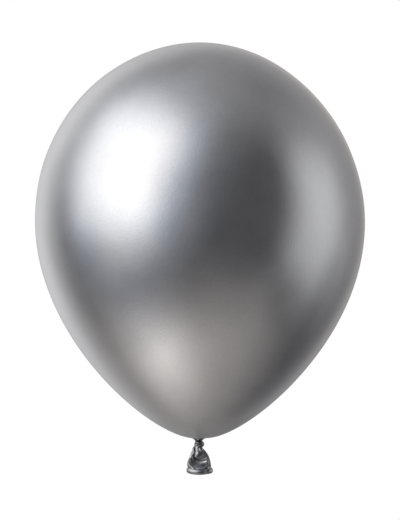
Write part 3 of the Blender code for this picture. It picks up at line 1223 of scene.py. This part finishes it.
# name, azimuth, elevation, half-width, half-height, softness, roll and light
STUDIO_PANELS = (
    SoftPanel("key", -64, 32, 30, 26, 27, 0, (0.55, 0.50, 0.43)),
    SoftPanel("key_plateau", -64, 31, 34, 30, 16, 0, (0.54, 0.48, 0.40)),
    SoftPanel("key_spill", -60, 30, 40, 34, 18, 0, (0.13, 0.22, 0.34)),
    SoftPanel("key_halo", -61, 19, 37, 56, 37, 6, (0.32, 0.335, 0.38)),
    SoftPanel("key_foot", -54, -1, 20, 18, 15, 4, (0.42, 0.40, 0.36)),
    SoftPanel("key_top", -48, 62, 26, 14, 20, 0, (0.08, 0.09, 0.11)),
    SoftPanel("key_right", -36, 34, 12, 26, 14, 0, (0.13, 0.08, 0.03)),
    SoftPanel("front_fill", -23, 19, 20.5, 29.5, 26.5, -24, (0.225, 0.235, 0.26)),
    SoftPanel("rear_left", -145, 5, 25, 36, 24, -9, (0.735, 0.735, 0.745)),
    SoftPanel("right_box", 88, 1, 21.5, 29, 14, -15, (0.32, 0.325, 0.33)),
    SoftPanel("right_core", 84, 0, 20, 28, 14, -15, (0.065, 0.063, 0.063)),
    SoftPanel("right_wash", 107, 13, 31, 31, 20, -10, (0.30, 0.30, 0.305)),
    SoftPanel("right_foot", 53, -38, 6, 18, 12, 0, (0.04, 0.04, 0.04)),
    SoftPanel("right_low", 120, -20, 9, 12, 12, 0, (0.05, 0.05, 0.05)),
    SoftPanel("rear_top", -165, 38, 32, 10, 14, 0, (0.04, 0.04, 0.04)),
    SoftPanel("key_left", -92, 24, 8, 20, 12, 0, (0.05, 0.05, 0.05)),
    SoftPanel("rear_right", 166, 12, 5, 18, 40, -26, (1.0, 0.955, 0.91)),
    SoftPanel("rear_right_low", 158, -28, 12, 20, 14, 0, (0.15, 0.145, 0.145)),
    SoftPanel("ceiling", 27, 99.5, 34, 47, 31, 22, (0.266, 0.266, 0.272)),
    SoftPanel("warm_card", -65, -66, 15, 10, 23, 3, (1.09, 1.05, 1.03)),
    SoftPanel("floor_bounce", -74, -84, 49, 30, 29, -26, (0.32, 0.30, 0.28)),
)


@dataclass
class Studio:
    """The pale stage: soft panels all round, a white ground and a pale floor."""

    panels: tuple[SoftPanel, ...]
    room_light: tuple[float, float, float] = (0.098, 0.098, 0.105)
    ground: tuple[float, float, float, float] = (1.0, 1.0, 1.0, 1.0)
    floor_z: float = -0.60
    floor_radius: float = 3.40
    floor_corners: int = 96
    floor_paint: tuple[float, float, float, float] = (0.85, 0.85, 0.85, 1.0)
    # where the paint starts and ends to fade into the ground, and how far it has faded there
    glow_radius: tuple[float, float] = (0.5, 3.332)
    glow_share: tuple[float, float] = (0.45, 1.0)

    @staticmethod
    def panel_group() -> bpy.types.NodeTree:
        """Makes the node group of one panel, which adds its light to what comes in.

        Returns:
            The group.
        """
        group = bpy.data.node_groups.new("soft_panel", "ShaderNodeTree")
        for name in (*PANEL_WAYS, "Light", "Before"):
            group.interface.new_socket(name, in_out="INPUT", socket_type="NodeSocketVector")
        for name in ("Half Width", "Half Height", "Softness"):
            group.interface.new_socket(name, in_out="INPUT", socket_type="NodeSocketFloat")
        group.interface.new_socket("After", in_out="OUTPUT", socket_type="NodeSocketVector")
        bench = NodeBench(group)
        given = bench.add("NodeGroupInput").outputs
        way = bench.add("ShaderNodeTexCoord").outputs["Generated"]
        parts = {}
        for name in PANEL_WAYS:
            parts[name] = bench.vectors("DOT_PRODUCT", way, given[name]).outputs["Value"]
        across = bench.maths("ABSOLUTE", bench.maths("ARCTAN2", parts["Right"], parts["Middle"]))
        along = bench.maths("ABSOLUTE", bench.maths("ARCSINE", parts["Up"]))
        shares = []
        for angle, half in ((across, "Half Width"), (along, "Half Height")):
            edge = bench.add("ShaderNodeMapRange", interpolation_type="SMOOTHSTEP")
            outer = bench.maths("ADD", given[half], given["Softness"])
            inner = bench.maths("SUBTRACT", given[half], given["Softness"])
            bench.join(angle, edge.inputs["Value"])
            bench.join(outer, edge.inputs["From Min"])
            bench.join(inner, edge.inputs["From Max"])
            shares.append(edge.outputs["Result"])
        share = bench.maths("MULTIPLY", *shares)
        added = bench.vectors("MULTIPLY_ADD", given["Light"], share, given["Before"])
        bench.join(added.outputs[0], bench.add("NodeGroupOutput").inputs["After"])
        return group

    def light(self) -> None:
        """Lights the stage: panels in every reflection, plain white behind the object."""
        world = bpy.data.worlds.new("studio")
        world.use_nodes = True
        bpy.context.scene.world = world
        bench = NodeBench(world.node_tree)
        group = self.panel_group()
        total = None
        for panel in self.panels:
            node = bench.add("ShaderNodeGroup", node_tree=group, label=panel.name)
            for name, way in zip(PANEL_WAYS, panel.axes()):
                node.inputs[name].default_value = way
            for name, angle in (("Half Width", panel.half_width), ("Half Height", panel.half_height),
                                ("Softness", panel.softness)):
                node.inputs[name].default_value = math.radians(angle)
            node.inputs["Light"].default_value = panel.light
            bench.feed(node.inputs["Before"], self.room_light if total is None else total)
            total = node.outputs["After"]
        studio = world.node_tree.nodes["Background"]
        bench.join(total, studio.inputs["Color"])
        ground = bench.add("ShaderNodeBackground")
        ground.inputs["Color"].default_value = self.ground
        seen = bench.add("ShaderNodeLightPath").outputs["Is Camera Ray"]
        stage = bench.shaders(seen, studio.outputs[0], ground.outputs[0])
        bench.join(stage, world.node_tree.nodes["World Output"].inputs["Surface"])

    def lay_floor(self) -> bpy.types.Object:
        """Lays the pale floor, which fades into the white ground at its rim.

        Returns:
            The floor.
        """
        bm = bmesh.new()
        bmesh.ops.create_circle(bm, cap_ends=True, radius=self.floor_radius,
                                segments=self.floor_corners)
        bmesh.ops.translate(bm, verts=bm.verts, vec=(0, 0, self.floor_z))
        mesh = bpy.data.meshes.new("stage_floor")
        bm.to_mesh(mesh)
        bm.free()
        floor = bpy.data.objects.new("stage_floor", mesh)
        bpy.context.scene.collection.objects.link(floor)
        floor.visible_diffuse = False
        floor.visible_glossy = False
        floor.visible_shadow = False
        mesh.materials.append(self.floor_material())
        return floor

    def floor_material(self) -> bpy.types.Material:
        """Makes the floor's pale paint, which glows like the ground towards the rim.

        Returns:
            The material.
        """
        material = bpy.data.materials.new("pale_floor")
        material.use_nodes = True
        bench = NodeBench(material.node_tree)
        place = bench.add("ShaderNodeTexCoord").outputs["Object"]
        fade = bench.ease(bench.length(bench.flat(place)), self.glow_radius, self.glow_share)
        paint = bench.add("ShaderNodeBsdfDiffuse")
        paint.inputs["Color"].default_value = self.floor_paint
        glow = bench.add("ShaderNodeEmission")
        faded = bench.shaders(fade, paint.outputs[0], glow.outputs[0])
        bench.join(faded, material.node_tree.nodes["Material Output"].inputs["Surface"])
        return material


@dataclass
class PhotoCamera:
    """The camera at the photograph's place, level with the balloon's middle."""

    distance: float = 1.6
    height: float = 0.1663
    lens: float = 119.5
    sensor: float = 36.0
    pitch: float = QUARTER_TURN  # level

    def set_up(self) -> bpy.types.Object:
        """Places the camera and makes it the scene's own.

        Returns:
            The camera.
        """
        data = bpy.data.cameras.new("photo_camera")
        data.lens = self.lens
        data.sensor_width = self.sensor
        camera = bpy.data.objects.new("photo_camera", data)
        camera.location = (0.0, -self.distance, self.height)
        camera.rotation_euler = (self.pitch, 0.0, 0.0)
        bpy.context.scene.collection.objects.link(camera)
        bpy.context.scene.camera = camera
        return camera


BLOWN_FILM = ChromeFilm(
    name="blown_chrome_film", slot="chrome_film", colour=(0.645, 0.645, 0.65), dark_share=0.93,
    roughness=(0.19, 0.22), grain_size=0.0016, grain_height=0.00004,
    streak_count=14.0, streak_height=0.0001, follows_film=False, matte_near_tie=0.35)
GATHERED_FILM = ChromeFilm(
    name="gathered_chrome_film", slot="gathered_film", colour=(0.415, 0.41, 0.41), dark_share=0.88,
    roughness=(0.14, 0.20), grain_size=0.0010, grain_height=0.000003,
    streak_count=3.0, streak_height=0.00002, follows_film=True, painted_highlight_share=3.0)
THROAT_FILM = replace(GATHERED_FILM, name="throat_chrome_film", top_colour=(0.62, 0.62, 0.625),
                      painted_crease_shade=0.3, roughness=(0.22, 0.28), fade_z=(0.0012, -0.0006))
# the knot's film is darker than the tail's: painted shade of the tight knot
KNOTTED_FILM = replace(GATHERED_FILM, name="knotted_chrome_film", colour=(0.245, 0.243, 0.242),
                       painted_highlight_share=2.4)


def main() -> None:
    """Builds the dressed balloon and its stage, and reports each piece."""
    logging.basicConfig(level=logging.INFO, format="%(name)s: %(message)s")
    PhotoCamera().set_up()
    folds = NeckFolds()
    makers = (
        EnvelopeFilm(BLOWN_FILM, folds),
        ThroatGather(THROAT_FILM, folds),
        Knot(KNOTTED_FILM),
        TailSleeve(GATHERED_FILM, TAIL_FOLDS),
        RolledLip(GATHERED_FILM),
    )
    for maker in makers:
        piece = maker.build()
        log.info("%s: %d faces", piece.name, len(piece.data.polygons))
    studio = Studio(STUDIO_PANELS)
    studio.light()
    studio.lay_floor()
    bpy.context.scene.view_settings.view_transform = "Standard"


if __name__ == "__main__":
    main()
